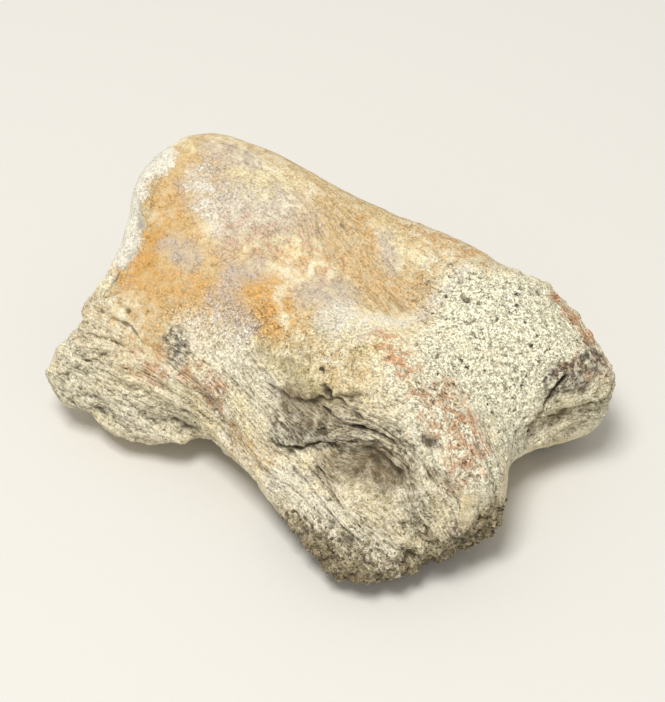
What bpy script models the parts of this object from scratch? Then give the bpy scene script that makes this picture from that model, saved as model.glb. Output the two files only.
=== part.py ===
"""Fossil toe bone of a spinosaurid dinosaur: one pedal phalanx, lying on its underside.

The bone runs along X, with the hollow joint face at -X and the two rounded condyles at +X. Its
near side is at -Y and its smooth upper face looks up. The solid starts as a sliced cube, which is
rounded into a plain block by the stations along the bone. Strokes then press and raise the
surface, each near one place and in one direction, as a modeller's thumb does in clay. Last comes
the wear of the surface, and the three small flats on which the bone rests.
"""

from typing import NamedTuple

import bmesh
import bpy
import numpy as np
from mathutils import Vector, noise

MM = 0.001

# Ends of the plain block along X, its rough width and height, and the spacing of its cuts.
JOINT_END = -38.0
CONDYLE_END = 41.0
BLOCK_WIDTH = 50.0
BLOCK_HEIGHT = 35.0
FACET = 1.85

# How square the block is: 2 is round, and higher is boxier.
SECTION_SQUARENESS = 3.0
JOINT_SQUARENESS = 7.0
CONDYLE_SQUARENESS = 2.9
# The section is wider at its underside than halfway up by this share of its half width.
FLARE = 0.16

# Lumps all over the bone, and chips where it is broken: size across, and how far in or out.
LUMP_ACROSS = 9.0
LUMP_HEIGHT = 0.35
CHIP_ACROSS = 3.6
CHIP_HEIGHT = 0.55

BONE_COLOUR = (0.52, 0.40, 0.24, 1)
BONE_ROUGHNESS = 0.75


class Station(NamedTuple):
    """The outer sizes of the bone at one place along it, in millimetres."""

    x: float
    near: float
    far: float
    top_near: float
    top_far: float
    under: float


class Region(NamedTuple):
    """A part of the bone round one centre, which fades to nothing at its reach, in millimetres."""

    name: str
    centre: tuple
    reach: tuple


class Stroke(NamedTuple):
    """A push on the surface round one centre, which fades to nothing at its reach, in millimetres."""

    name: str
    centre: tuple
    reach: tuple
    push: tuple


STATIONS = (
    Station(-38.5, -27.5, 18.5, 23.0, 45.0, 1.0),
    Station(-28.0, -26.5, 21.5, 25.5, 42.5, -0.5),
    Station(-10.0, -22.5, 22.5, 27.5, 37.0, 3.0),
    Station(6.0, -24.5, 24.5, 29.0, 33.0, 3.0),
    Station(20.0, -27.5, 27.0, 29.0, 32.0, -1.2),
    Station(41.0, -27.0, 27.0, 27.0, 29.5, -1.6),
)

STROKES = (
    # The joint end.
    Stroke("near hollow of the joint face", (-39, -12, 15), (9, 13, 14), (3.2, 0, 0)),
    Stroke("far hollow of the joint face", (-39, 8, 19), (9, 13, 16), (3.2, 0, 0)),
    Stroke("broken lip of the joint face", (-38, 7, 32), (8, 12, 9), (-1.6, 0, 0)),
    Stroke("near corner of the joint face", (-38, -26, 10), (13, 13, 13), (-3.6, -1.5, 0)),
    Stroke("heel under the joint end", (-22, -25, 2), (10, 10, 12), (0, -2.6, 0)),
    Stroke("gap between corner and heel", (-31, -28, 0), (6, 8, 8), (0, 1.6, 1.0)),
    # The shaft.
    Stroke("waist, near side", (-6, -25, 10), (17, 12, 18), (0, 1.4, 0)),
    Stroke("waist, far side", (-4, 26, 12), (22, 12, 20), (0, -2.4, 0)),
    Stroke("hollow of the underside", (-6, 0, 2), (24, 20, 14), (0, 0, 3.0)),
    Stroke("pit of the extensor tendon", (9, 9, 30), (19, 15, 13), (0, 0, -3.4)),
    # The condyle end.
    Stroke("near condyle, foot", (22, -25, 3), (28, 15, 18), (-1.0, -5.6, 0)),
    Stroke("near condyle, tip", (42, -26, 14), (30, 20, 60), (-3.4, 0.5, 0)),
    Stroke("far condyle, tip", (40, 18, 13), (30, 14, 40), (3.4, 1.5, 0)),
    Stroke("groove, tip", (46, -1, 11), (40, 15, 70), (-7.5, 0, 0)),
    Stroke("groove, top", (26, 0, 28), (24, 13, 14), (0, 0, -2.6)),
    Stroke("groove, underside", (30, 0, -2), (24, 11, 12), (0, 0, 4.5)),
    Stroke("near ligament pit", (17, -26, 15), (15, 14, 12), (-0.5, 4.4, -0.5)),
    Stroke("near ligament pit, upper hollow", (5, -20, 24), (13, 12, 10), (0, 1.6, -1.0)),
    Stroke("far ligament pit", (19, 28, 14), (12, 12, 10), (0, -4.0, 0)),
)

# Where the surface is broken or crusted.
BROKEN = (
    Region("joint face", (-40, 0, 20), (9, 34, 26)),
    Region("near condyle", (26, -26, 0), (26, 16, 14)),
    Region("far condyle", (44, 18, 14), (12, 16, 18)),
    Region("heel", (-24, -28, 2), (18, 12, 10)),
)


def sliced_cube(cuts):
    """Returns a cube from -1 to 1, sliced into the given number of slabs along each axis."""
    cube = bmesh.new()
    bmesh.ops.create_cube(cube, size=2)
    for axis, count in enumerate(cuts):
        normal = Vector((0, 0, 0))
        normal[axis] = 1
        for step in range(1, count):
            place = normal * (2 * step / count - 1)
            everything = cube.verts[:] + cube.edges[:] + cube.faces[:]
            bmesh.ops.bisect_plane(cube, geom=everything, plane_co=place, plane_no=normal, dist=1e-6)
    return cube


def smooth_curve(x, places, values):
    """Returns the height at x of a smooth curve through the values at the given places."""
    slopes = np.gradient(values, places)
    left = np.clip(np.searchsorted(places, x) - 1, 0, len(places) - 2)
    step = places[left + 1] - places[left]
    t = np.clip((x - places[left]) / step, 0, 1)
    blend = t * t * (3 - 2 * t)
    leaving = t * (1 - t) ** 2 * slopes[left] * step
    arriving = t * t * (t - 1) * slopes[left + 1] * step
    return values[left] * (1 - blend) + values[left + 1] * blend + leaving + arriving


def rounded_block(cube_points):
    """Returns the cube's points moved onto the plain, rounded form of the bone."""
    u, v, w = cube_points.T
    squareness = np.where(u < 0, JOINT_SQUARENESS, CONDYLE_SQUARENESS)
    section = (abs(v) ** SECTION_SQUARENESS + abs(w) ** SECTION_SQUARENESS) ** (1 / SECTION_SQUARENESS)
    size = (section**squareness + abs(u) ** squareness) ** (1 / squareness)
    u, v, w = u / size, v / size, w / size
    x = JOINT_END + (CONDYLE_END - JOINT_END) * (u + 1) / 2
    places, *sizes = np.array(STATIONS).T
    near, far, top_near, top_far, under = (smooth_curve(x, places, size) for size in sizes)
    top = top_near + (top_far - top_near) * (v + 1) / 2
    y = (near + far) / 2 + (far - near) / 2 * v * (1 - FLARE * w)
    z = (top + under) / 2 + (top - under) / 2 * w
    return np.stack([x, y, z], axis=1)


def strength(points, place):
    """Returns how near each point is to a region or stroke, from 0 at its reach to 1 at its centre."""
    away = (((points - place.centre) / place.reach) ** 2).sum(axis=1)
    return np.clip(1 - away, 0, None) ** 2


def weathering(points):
    """Returns how far each point of the surface stands in or out by wear, in millimetres."""
    broken = sum(strength(points, region) for region in BROKEN).clip(0, 1)
    lumps = np.array([noise.noise(Vector(point / LUMP_ACROSS)) for point in points])
    chips = np.array([noise.noise(Vector(point / CHIP_ACROSS)) for point in points])
    return LUMP_HEIGHT * lumps + CHIP_HEIGHT * broken * chips


def sculpt(bone):
    """Moves the vertices of the sliced cube onto the finished surface, in millimetres."""
    points = rounded_block(np.array([vertex.co for vertex in bone.verts]))
    for stroke in STROKES:
        points += strength(points, stroke)[:, None] * np.array(stroke.push)
    for vertex, point in zip(bone.verts, points):
        vertex.co = point
    bone.normal_update()
    normals = np.array([vertex.normal for vertex in bone.verts])
    points += normals * weathering(points)[:, None]
    # What would reach below the ground is flat: under the joint end and under each condyle.
    points[:, 2] = points[:, 2].clip(0, None)
    middle = (points.min(axis=0) + points.max(axis=0)) / 2
    middle[2] = 0
    for vertex, point in zip(bone.verts, points - middle):
        vertex.co = point


def make_toe_bone():
    """Returns the bone as one object, with its origin on the ground under its middle."""
    block = np.array([CONDYLE_END - JOINT_END, BLOCK_WIDTH, BLOCK_HEIGHT])
    bone = sliced_cube(np.round(block / FACET).astype(int))
    sculpt(bone)
    bmesh.ops.scale(bone, vec=(MM, MM, MM), verts=bone.verts)
    mesh = bpy.data.meshes.new("toe_bone")
    bone.to_mesh(mesh)
    bone.free()
    mesh.shade_smooth()
    return bpy.data.objects.new("toe_bone", mesh)


def fossil_bone():
    """Returns the material of the bone: dry, mineralised bone of a dull cream and ochre."""
    material = bpy.data.materials.new("fossil_bone")
    material.use_nodes = True
    surface = material.node_tree.nodes["Principled BSDF"]
    surface.inputs["Base Color"].default_value = BONE_COLOUR
    surface.inputs["Roughness"].default_value = BONE_ROUGHNESS
    surface.inputs["Metallic"].default_value = 0
    return material


def main():
    """Clears the scene and adds the bone."""
    for old in list(bpy.data.objects):
        bpy.data.objects.remove(old)
    bone = make_toe_bone()
    bone.data.materials.append(fossil_bone())
    bpy.context.scene.collection.objects.link(bone)


main()
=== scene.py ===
"""The fossil toe bone dressed for show: weathered relief, iron and manganese stains, and a sand crust.

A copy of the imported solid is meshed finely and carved. Its fibres follow a flow that is combed over
the surface, its broken edges stand proud, and cracks and pores are cut in. Where each texture and
stain lies is kept as attributes of the mesh, which the finish reads. Places are given as pixels of
the photograph, which are cast onto the bone, or in millimetres where the photograph doesn't reach.
"""

import logging
import math
from collections.abc import Iterator
from dataclasses import dataclass, field
from enum import Enum, auto

import bmesh
import bpy
import numpy as np
from mathutils import Matrix, Vector, noise
from mathutils.bvhtree import BVHTree


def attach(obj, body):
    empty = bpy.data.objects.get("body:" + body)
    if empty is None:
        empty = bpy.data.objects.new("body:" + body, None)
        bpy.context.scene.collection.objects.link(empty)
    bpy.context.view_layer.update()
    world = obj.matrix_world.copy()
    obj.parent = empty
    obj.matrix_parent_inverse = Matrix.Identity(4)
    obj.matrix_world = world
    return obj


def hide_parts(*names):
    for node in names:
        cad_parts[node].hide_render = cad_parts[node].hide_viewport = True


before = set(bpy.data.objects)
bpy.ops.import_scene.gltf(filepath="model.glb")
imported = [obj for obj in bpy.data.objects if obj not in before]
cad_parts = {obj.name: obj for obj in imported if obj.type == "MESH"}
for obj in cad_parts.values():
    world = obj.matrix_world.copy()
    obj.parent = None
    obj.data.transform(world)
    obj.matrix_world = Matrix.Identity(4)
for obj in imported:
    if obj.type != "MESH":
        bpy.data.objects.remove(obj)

MM = 0.001
PHOTO_SIZE = (665, 702)
SENSOR_MM = 36.0

Spot = tuple[float, ...]
Array = np.ndarray
Feed = bpy.types.Node | bpy.types.NodeSocket | float | tuple
Layer = tuple[Feed, Feed, str]
log = logging.getLogger("toe_bone")


class Texture(Enum):
    """How the surface of the bone feels in one place."""

    FIBROUS = auto()
    POROUS = auto()
    PITTED = auto()
    CRUSTED = auto()
    BROKEN = auto()


class Stain(Enum):
    """What colours the bone in patches, in the order they lie over each other, as sRGB colours.
    Some of the darker patches also paint shade, as noted where they are listed.
    """

    OCHRE = "#c7a670"
    ORANGE = "#c99a54"
    LILAC = "#b7a896"
    CHALK = "#e4dfcd"
    OLIVE = "#a99b72"
    RUST = "#c99467"
    GREY = "#7f7b69"
    UMBER = "#796645"
    MANGANESE = "#2e2720"


@dataclass(frozen=True)
class Spread:
    """How a stain breaks up: how much it follows the fine stipple, and how much a wider pattern."""

    stipple: float
    wide: float
    pattern: str


WASHED = Spread(0.42, 0.6, "patchy")
MOTTLED = Spread(0.3, 0.6, "patchy")
SPOTTED = Spread(0.4, 1.0, "freckle")
BLOTCHED = Spread(0.3, 1.1, "patchy")
SPREADS = {
    Stain.LILAC: MOTTLED,
    Stain.CHALK: MOTTLED,
    Stain.RUST: BLOTCHED,
    Stain.GREY: SPOTTED,
    Stain.MANGANESE: SPOTTED,
}


@dataclass(frozen=True)
class Pattern:
    """Noise with lumps of one size in millimetres, and the values of it that become 0 and 1.

    It may be gathered, so that more of it shows in patches, or folded at its middle, so that it
    becomes thin lines.
    """

    across: float
    detail: float
    low: float
    high: float
    roughness: float = 0.62
    gathered: float = 0.0
    folded: bool = False


# The stipple and the flecks are as wide as the real pits that hold dirt, and finer ones wouldn't show.
PATTERNS = {
    "cloud": Pattern(7.0, 7.0, 0.34, 0.66),
    "stipple": Pattern(0.38, 1.5, 0.3, 0.7),
    "patchy": Pattern(1.7, 3.0, 0.35, 0.65),
    "freckle": Pattern(0.85, 3.0, 0.34, 0.66),
    "fleck": Pattern(0.4, 2.0, 0.49, 0.4, roughness=0.6, gathered=0.1),
    "hairline": Pattern(1.6, 4.0, 0.014, 0.002, roughness=0.55, folded=True),
}


@dataclass(frozen=True)
class Pores:
    """Open pores of one size: their spacing, their widest radius, how many are closed, how dark."""

    spacing: float
    widest: float
    closed: float
    darkness: float


FINE_PORES = Pores(0.58, 0.4, 0.15, 0.65)
WIDE_PORES = Pores(1.3, 0.33, 0.25, 1.0)


@dataclass(frozen=True)
class Relief:
    """How far a texture stands out, in millimetres: what each size of noise adds, and its holes."""

    lift: float = 0.0
    clods: float = 0.0
    coarse: float = 0.0
    middle: float = 0.0
    fine: float = 0.0
    holes: float = 0.0
    hole_rim: float = 0.0
    hole_floor: float = 1.0


RELIEFS = {
    Texture.CRUSTED: Relief(lift=0.8, clods=-2.0, coarse=0.5, fine=0.35),
    Texture.BROKEN: Relief(coarse=0.55, middle=0.3, fine=0.12),
    Texture.POROUS: Relief(middle=0.12, holes=0.3, hole_rim=0.3, hole_floor=0.65),
    Texture.PITTED: Relief(middle=0.12, holes=0.12, hole_rim=0.2, hole_floor=0.6),
}


@dataclass(frozen=True)
class Patch:
    """A place on the bone: round one spot, or along the way through several, with a soft rim.

    A spot of two numbers is a pixel of the photograph, and one of three is a place in millimetres.
    """

    name: str
    spots: tuple[Spot, ...]
    reach: float
    strength: float = 1.0


@dataclass(frozen=True)
class Comb:
    """A stroke along the fibres of the bone, from one spot to another."""

    start: Spot
    end: Spot
    reach: float = 6.0


@dataclass(frozen=True)
class Press:
    """A dent round one spot, or a swelling where the depth is negative, in millimetres."""

    name: str
    spot: Spot
    reach: float
    depth: float


@dataclass(frozen=True)
class Edge:
    """A broken edge along several spots: the surface drops on its right-hand side, seen from outside."""

    name: str
    spots: tuple[Spot, ...]
    drop: float
    reach: float


@dataclass(frozen=True)
class Crack:
    """A crack along several spots, in millimetres."""

    name: str
    spots: tuple[Spot, ...]
    width: float
    depth: float


TEXTURES: dict[Texture, tuple[Patch, ...]] = {
    Texture.FIBROUS: (
        Patch("joint end, near side", ((72, 345), (110, 395), (165, 425)), 12),
        Patch("shaft, near side", ((205, 390), (255, 440)), 9),
        Patch("above the near condyle", ((248, 380), (276, 425)), 6),
        Patch("round the ligament pit", ((335, 435), (385, 425), (430, 480), (425, 540)), 7),
        Patch("lower side of the near condyle", ((285, 470), (330, 515), (390, 555)), 7),
        Patch("end of the near condyle", ((488, 440), (495, 500)), 5),
        Patch("face beyond the crack", ((550, 420), (595, 400)), 7),
        Patch("streaks down to the pocket", ((290, 190), (330, 225), (385, 300)), 8, 0.4),
        Patch("far side", ((-24, 24, 10), (14, 30, 10)), 15, 0.8),
    ),
    Texture.POROUS: (
        Patch("far condyle", ((475, 305), (540, 320), (562, 350)), 12),
        Patch("between the condyles", ((450, 365), (500, 400), (520, 435)), 8),
        Patch("face up to the crack", ((520, 350), (540, 385)), 8),
        Patch("top of the near condyle", ((440, 395), (455, 430), (475, 460)), 7),
        Patch("joint face", ((-40, -14, 14), (-40, 12, 20)), 12, 0.7),
        Patch("far end of the far condyle", ((40, 22, 14), (30, 30, 14)), 12),
    ),
    Texture.PITTED: (
        Patch("lower half of the upper face", ((200, 345), (250, 350), (320, 350), (380, 370)), 9),
        Patch("near side of the joint end", ((190, 380), (230, 440)), 9, 0.8),
        Patch("round the flake", ((280, 380), (330, 370), (400, 400)), 8),
        Patch("foot of the ligament pit", ((370, 500), (400, 530)), 7),
        Patch("ligament pit", ((350, 470), (395, 495)), 6),
        Patch("mottle on the upper face", ((225, 190), (260, 215)), 7, 0.5),
        Patch("far side", ((-20, 28, 24), (24, 30, 20)), 14, 0.6),
        Patch("underside", ((-20, 0, 0), (10, 0, 3)), 22, 0.8),
    ),
    Texture.CRUSTED: (
        Patch("rim of the near condyle", ((288, 530), (330, 562), (400, 575), (455, 565), (488, 530)), 5.5),
        Patch("foot of the near condyle", ((12, -22, 0), (34, -20, 0)), 9),
        Patch("foot of the far condyle", ((20, 18, 0), (34, 16, 0)), 5),
        Patch("foot of the joint end", ((-30, -8, 0), (-30, 14, 0)), 6),
        Patch("hollow of the joint face", ((-37, -10, 10), (-37, 0, 14)), 6, 0.8),
    ),
    Texture.BROKEN: (
        Patch("lip of the joint face", ((160, 165), (138, 210), (124, 245), (100, 295)), 3.0),
        Patch("near corner", ((66, 335), (56, 385), (85, 415), (118, 435)), 3.5),
        Patch("heel", ((120, 440), (200, 460)), 4),
        Patch("under the flake", ((288, 414), (304, 432), (328, 434)), 5, 0.9),
        Patch("ledge", ((283, 440), (330, 452)), 3.5),
        Patch("floor of the ligament pit", ((352, 466), (390, 492)), 5, 0.7),
        Patch("edge of the far condyle", ((535, 280), (570, 310), (605, 365), (608, 400)), 4.5),
        Patch("face beyond the crack", ((550, 425), (600, 395)), 7, 1.4),
        Patch("near the crack", ((500, 430), (540, 430)), 4, 0.6),
        Patch("rim of the joint face", ((-40, 18, 34), (-40, 24, 14), (-38, 14, 2)), 5),
    ),
}

STAINS: dict[Stain, tuple[Patch, ...]] = {
    Stain.OCHRE: (
        Patch("upper face", ((185, 180), (172, 225), (160, 280), (225, 290)), 9.5, 1.08),
        Patch("shoulder", ((190, 150), (250, 145), (320, 180)), 4, 0.55),
        Patch("middle of the upper face", ((225, 255), (270, 270), (305, 300)), 7, 0.6),
        Patch("streak down to the pocket", ((325, 215), (350, 255), (380, 288), (402, 296)), 6.5, 1.15),
        Patch("upper right", ((400, 225), (450, 243)), 5, 0.55),
        Patch("pocket rim", ((428, 290), (440, 272)), 2.4, 0.55),
        Patch("corner", ((90, 320), (150, 345)), 6, 0.45),
        Patch("middle", ((300, 345), (345, 365)), 6, 0.45),
        Patch("far shoulder", ((-20, 26, 34), (10, 26, 28)), 9, 0.6),
        Patch("joint face", ((-38, 4, 26), (-38, -14, 12)), 8, 0.6),
    ),
    Stain.ORANGE: (
        Patch("patch on the upper left", ((178, 195), (172, 225)), 5, 0.35),
        Patch("left corner", ((122, 268), (136, 262), (148, 246)), 4.0, 0.9),
        Patch("band below", ((150, 280), (190, 292), (235, 297)), 3.5, 0.55),
        Patch("brightest spot", ((256, 284), (266, 310), (270, 338)), 2.6, 1.0),
        Patch("beside the brightest spot", ((292, 300), (298, 330)), 2.4, 0.5),
        Patch("smear by the waist", ((240, 432), (268, 460)), 3.2, 0.45),
        Patch("spot by the stain", ((186, 370), (191, 378)), 1.4, 0.8),
        Patch("yellow by the stain", ((150, 338), (160, 348)), 2.2, 0.45),
        Patch("streak in the pocket", ((365, 225), (372, 245)), 1.5, 0.4),
        Patch("floor of the pocket", ((352, 262), (388, 294)), 3.5, 0.3),
        Patch("far side", ((-14, 30, 22), (-6, 30, 20)), 5, 0.6),
    ),
    Stain.LILAC: (
        Patch("patch by the corner", ((170, 247), (192, 258)), 2.4, 0.75),
        Patch("mottle on the upper face", ((212, 190), (240, 218), (270, 215)), 6, 0.7),
        Patch("shoulder band", ((210, 150), (245, 160)), 2.6, 0.7),
        Patch("patch above the bright spot", ((232, 275), (258, 268)), 2.6, 0.75),
        Patch("patch below", ((222, 300), (240, 330)), 3.2, 0.7),
        Patch("patch right of the bright spot", ((312, 295), (340, 290), (335, 315)), 3.4, 0.7),
        Patch("streak to the pocket", ((383, 235), (392, 270)), 1.8, 0.6),
        Patch("by the streaks", ((300, 205), (312, 235)), 3, 0.4),
    ),
    Stain.CHALK: (
        Patch("lip of the joint face", ((162, 160), (142, 185), (130, 212), (120, 245)), 3.2, 1.5),
        Patch("mottle on the upper face", ((212, 188), (245, 215)), 5, 0.22),
        Patch("below the upper face", ((200, 330), (240, 360), (270, 395)), 5, 0.4),
        Patch("fibres of the lower side", ((285, 480), (330, 518), (390, 556)), 3.5, 0.6),
        Patch("fibres of the joint end", ((75, 350), (110, 385), (160, 420)), 6, 0.12),
        Patch("pale tongue", ((196, 178), (212, 225)), 2.5, 0.5),
        Patch("rim of the pocket", ((375, 318), (400, 322), (424, 312), (450, 287), (468, 270)), 1.6, 0.5),
        Patch("right of the bright spot", ((335, 320), (360, 325)), 4, 0.6),
    ),
    Stain.OLIVE: (
        Patch("grey-green patch", ((262, 356), (300, 366)), 3.2, 0.6),
        Patch("knob over the flake", ((298, 386), (316, 392)), 2.8, 0.8),
        Patch("middle, yellowish", ((310, 345), (345, 355)), 6, 0.25),
        Patch("face beyond the crack", ((560, 412), (600, 392)), 5, 0.6),
        Patch("smear near the heel", ((160, 412), (200, 425)), 4, 0.35),
        Patch("under the ledge", ((345, 420), (385, 430)), 3, 0.5),
        Patch("foot of the pit", ((365, 490), (400, 520)), 5, 0.4),
    ),
    Stain.RUST: (
        Patch("streaks on the upper face", ((245, 230), (275, 236), (325, 262)), 4.5, 0.2),
        Patch("below the grey stain", ((188, 370), (205, 380), (218, 400)), 3.4, 0.5),
        Patch("near side of the joint end", ((130, 360), (150, 372)), 3.4, 0.45),
        Patch("spots by the pocket", ((386, 342), (408, 368)), 3.4, 0.4),
        Patch("top of the near condyle", ((430, 396), (452, 402)), 4.5, 0.4),
        Patch("middle of the near condyle", ((438, 422), (455, 440)), 4.0, 0.42),
        Patch("end of the near condyle", ((466, 425), (474, 442), (464, 468)), 4.0, 0.5),
        Patch("edge of the far condyle", ((560, 305), (590, 340), (604, 365)), 2.5, 0.6),
        Patch("head of the crack", ((575, 372), (592, 360)), 3.0, 0.4),
        Patch("upper right", ((430, 235), (470, 250)), 4, 0.22),
    ),
    Stain.GREY: (
        Patch("stain above the heel", ((176, 333), (180, 355)), 2.3, 0.5),
        # Grey under the flake and along the ledge: partly stain, partly painted shadow under the overhang.
        Patch("under the flake", ((290, 415), (350, 425)), 4.5, 0.4),
        Patch("ledge", ((283, 440), (330, 448)), 2, 0.6),
        Patch("round the top of the pit", ((345, 442), (385, 440), (408, 465)), 3.5, 0.5),
        Patch("corner", ((62, 385), (95, 405), (130, 420)), 4, 0.35),
        Patch("heel", ((165, 415), (195, 428)), 3, 0.3),
        Patch("right of the pit", ((415, 500), (420, 530)), 2.5, 0.4),
    ),
    Stain.UMBER: (
        Patch("spot by the flake", ((289, 399), (292, 413)), 2.3, 2.0),
        # Umber under the flake: partly stain, partly painted shadow under the overhang.
        Patch("under the flake", ((290, 418), (318, 424), (345, 424)), 4.5, 0.8),
        # Brown of the pit's upper half: partly stain, partly painted shade under the pit's wall.
        Patch("floor of the ligament pit", ((342, 462), (386, 474)), 5.0, 1.0),
        # Umber along the rim: partly dirt, partly painted shade on the down-facing rim.
        Patch("rim of the near condyle", ((286, 528), (330, 570), (430, 578), (476, 545)), 4.6, 1.0),
        Patch("dark pits by the swirl", ((428, 440), (434, 444)), 1.3, 0.9),
        Patch("dark pit below", ((430, 474), (436, 476)), 1.3, 0.9),
        # Darker underside: partly dirt from the ground, partly painted shade.
        Patch("underside", ((-10, 0, 2), (20, 0, 4)), 16, 0.4),
    ),
    Stain.MANGANESE: (
        Patch("stain above the heel", ((172, 334), (181, 345), (177, 360)), 1.4, 0.5),
        Patch("head of the crack", ((558, 386), (576, 371), (594, 356)), 2.8, 0.66),
        # Black at the flake's edge: partly manganese, partly painted shadow under the overhang.
        Patch("under the flake", ((325, 388), (328, 394)), 0.75, 1.3),
        # Black along the ledge: partly manganese, partly painted shadow under the ledge.
        Patch("ledge", ((281, 432), (300, 438), (330, 446)), 2.2, 0.65),
        Patch("rim of the near condyle", ((458, 534), (472, 540)), 2.0, 0.7),
        Patch("dark pits by the swirl", ((426, 441), (436, 444)), 0.8, 0.8),
        Patch("hole by the flake", ((322, 369), (323, 370)), 0.4, 1.2),
    ),
}

COMBS: tuple[Comb, ...] = (
    Comb((78, 348), (120, 358)),
    Comb((65, 383), (100, 396)),
    Comb((70, 392), (117, 422)),
    Comb((126, 415), (193, 434)),
    Comb((155, 400), (203, 430)),
    Comb((231, 386), (262, 432)),
    Comb((262, 384), (285, 420)),
    Comb((222, 453), (262, 490)),
    Comb((240, 473), (281, 514)),
    Comb((285, 473), (329, 519)),
    Comb((329, 519), (385, 556), 8),
    Comb((315, 466), (350, 510)),
    Comb((300, 440), (340, 436), 4),
    Comb((329, 441), (365, 436), 4),
    Comb((365, 439), (395, 452), 4),
    Comb((395, 452), (414, 487), 4),
    Comb((411, 480), (424, 520), 4),
    Comb((376, 415), (411, 445), 4),
    Comb((345, 462), (385, 470), 3),
    Comb((480, 440), (494, 500)),
    Comb((313, 205), (330, 250)),
    Comb((341, 265), (375, 312)),
    Comb((390, 220), (440, 245)),
    Comb((464, 290), (505, 310)),
    Comb((450, 370), (500, 350)),
    Comb((560, 420), (600, 400), 5),
    Comb((200, 160), (290, 190)),
)

PRESSES: tuple[Press, ...] = (
    Press("lip of the joint face, which stands out", (150, 182), 9, -1.3),
    Press("lip, lower half", (114, 252), 10, 1.4),
    Press("notch in the lip", (132, 217), 3.2, 1.2),
    Press("joint end, top", (212, 142), 9, -0.6),
    Press("corner, which stands out", (58, 390), 6, -1.0),
    Press("waist, which stands out", (262, 488), 15, -2.2),
    Press("end of the far condyle, which stands out", (598, 390), 9, -0.9),
    Press("back of the tendon pit, which stands out", (440, 238), 15, -1.1),
    Press("top of the far condyle, which stands out", (545, 285), 9, -0.8),
    Press("ligament pit", (368, 470), 8.0, 3.2),
    Press("rim over the ligament pit", (400, 430), 7, -1.3),
    Press("ridge under the ligament pit", (340, 512), 7, -1.2),
    Press("hole of the far condyle", (468, 299), 1.1, 1.1),
    Press("its shallow end", (462, 296), 0.9, 0.6),
    Press("hole beside it", (479, 303), 0.8, 0.6),
    Press("pit beside the swirl", (430, 442), 0.9, 0.4),
    Press("pit below the swirl", (433, 475), 0.9, 0.3),
    Press("hole at the flake", (326, 391), 1.0, 1.3),
    Press("top of that hole", (323.5, 386), 0.6, 0.8),
    Press("hole in the near side", (127, 311), 0.45, 0.5),
    Press("hole beside that", (147, 311), 0.35, 0.35),
    Press("knob over the flake", (306, 384), 4.5, -0.9),
    Press("hole by the flake", (322, 368.5), 0.5, 0.6),
    Press("dent under the flake", (312, 424), 7.0, 1.0),
    Press("knob under the flake", (297, 425), 1.5, -0.4),
    Press("knob beside it", (310, 431), 1.4, -0.35),
    Press("knob at the left", (287, 421), 1.4, -0.3),
    Press("knob at the right", (321, 427), 1.4, -0.3),
    Press("gap over the ledge", (292, 434), 1.3, 0.4),
    Press("gap beside it", (304, 438), 1.3, 0.4),
    Press("gap at the right", (318, 437), 1.3, 0.4),
    Press("gap between the knobs", (304, 424), 1.0, 0.35),
    Press("lump beyond the crack", (575, 405), 2.4, -0.6),
    Press("lump beside that", (560, 424), 2.0, -0.5),
    Press("dent between the lumps", (566, 413), 1.6, 0.6),
)

EDGES: tuple[Edge, ...] = (
    Edge(
        "flake over the ligament pit",
        ((262, 378), (278, 387), (292, 395), (307, 400), (322, 395), (340, 392), (356, 391), (380, 395)),
        1.0,
        4.0,
    ),
    Edge("wall of the ligament pit", ((344, 458), (354, 451), (378, 452), (396, 466), (406, 488)), 0.8, 5.0),
    Edge(
        "ledge below the flake",
        ((266, 436), (284, 445), (298, 450), (308, 445), (318, 444), (334, 450)),
        1.2,
        2.6,
    ),
    Edge("lip of the joint face", ((173, 150), (160, 190), (144, 230), (122, 259), (104, 292)), 0.45, 6.0),
    Edge("outer layer round the pit", ((345, 405), (375, 412), (400, 430), (418, 455)), 0.5, 2.5),
    Edge("inner layer of the pit", ((338, 425), (365, 425), (392, 441), (410, 470), (421, 500)), 0.6, 2.5),
    Edge("layer below the pit", ((345, 512), (325, 490), (300, 465), (280, 455)), 0.4, 2.5),
    Edge("step above the corner", ((60, 376), (78, 362), (112, 350)), 0.5, 3.0),
)

CRACKS: tuple[Crack, ...] = (
    Crack("far condyle's crack", ((565, 377), (556, 388), (546, 405), (537, 421), (526, 443)), 0.46, 1.9),
    Crack("crack on top", ((341, 224), (348, 231), (352, 228)), 0.3, 0.3),
    Crack("crack in the near side", ((112, 318), (130, 326), (142, 342)), 0.35, 0.45),
    Crack("crack under the ledge", ((279, 445), (298, 450), (307, 447), (317, 445), (330, 449)), 0.45, 1.1),
    Crack("crack in the lower side", ((350, 520), (360, 532), (372, 545)), 0.35, 0.5),
    Crack("groove round the pit", ((345, 451), (372, 449), (392, 462), (405, 482)), 0.7, 0.7),
    Crack("groove beside it", ((372, 436), (396, 450), (412, 474)), 0.45, 0.6),
    Crack("groove from the flake", ((330, 398), (352, 412), (378, 428), (398, 446), (410, 466)), 0.4, 0.7),
    Crack("outer groove", ((318, 408), (345, 425), (370, 434), (392, 450), (405, 475)), 0.45, 0.8),
    Crack("groove in the lower side", ((292, 468), (315, 492), (345, 530), (380, 552)), 0.4, 0.6),
    Crack("groove beside that", ((318, 470), (335, 498), (362, 528)), 0.4, 0.5),
)


def linear(hex_colour: str) -> tuple[float, float, float, float]:
    """Turns an sRGB colour to the linear colour that a shader reads.

    Args:
        hex_colour: The colour as "#rrggbb".

    Returns:
        Linear red, green, blue, and an alpha of 1.
    """
    parts = [int(hex_colour[i : i + 2], 16) / 255 for i in (1, 3, 5)]
    red, green, blue = (p / 12.92 if p <= 0.04045 else ((p + 0.055) / 1.055) ** 2.4 for p in parts)
    return red, green, blue, 1.0


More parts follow.
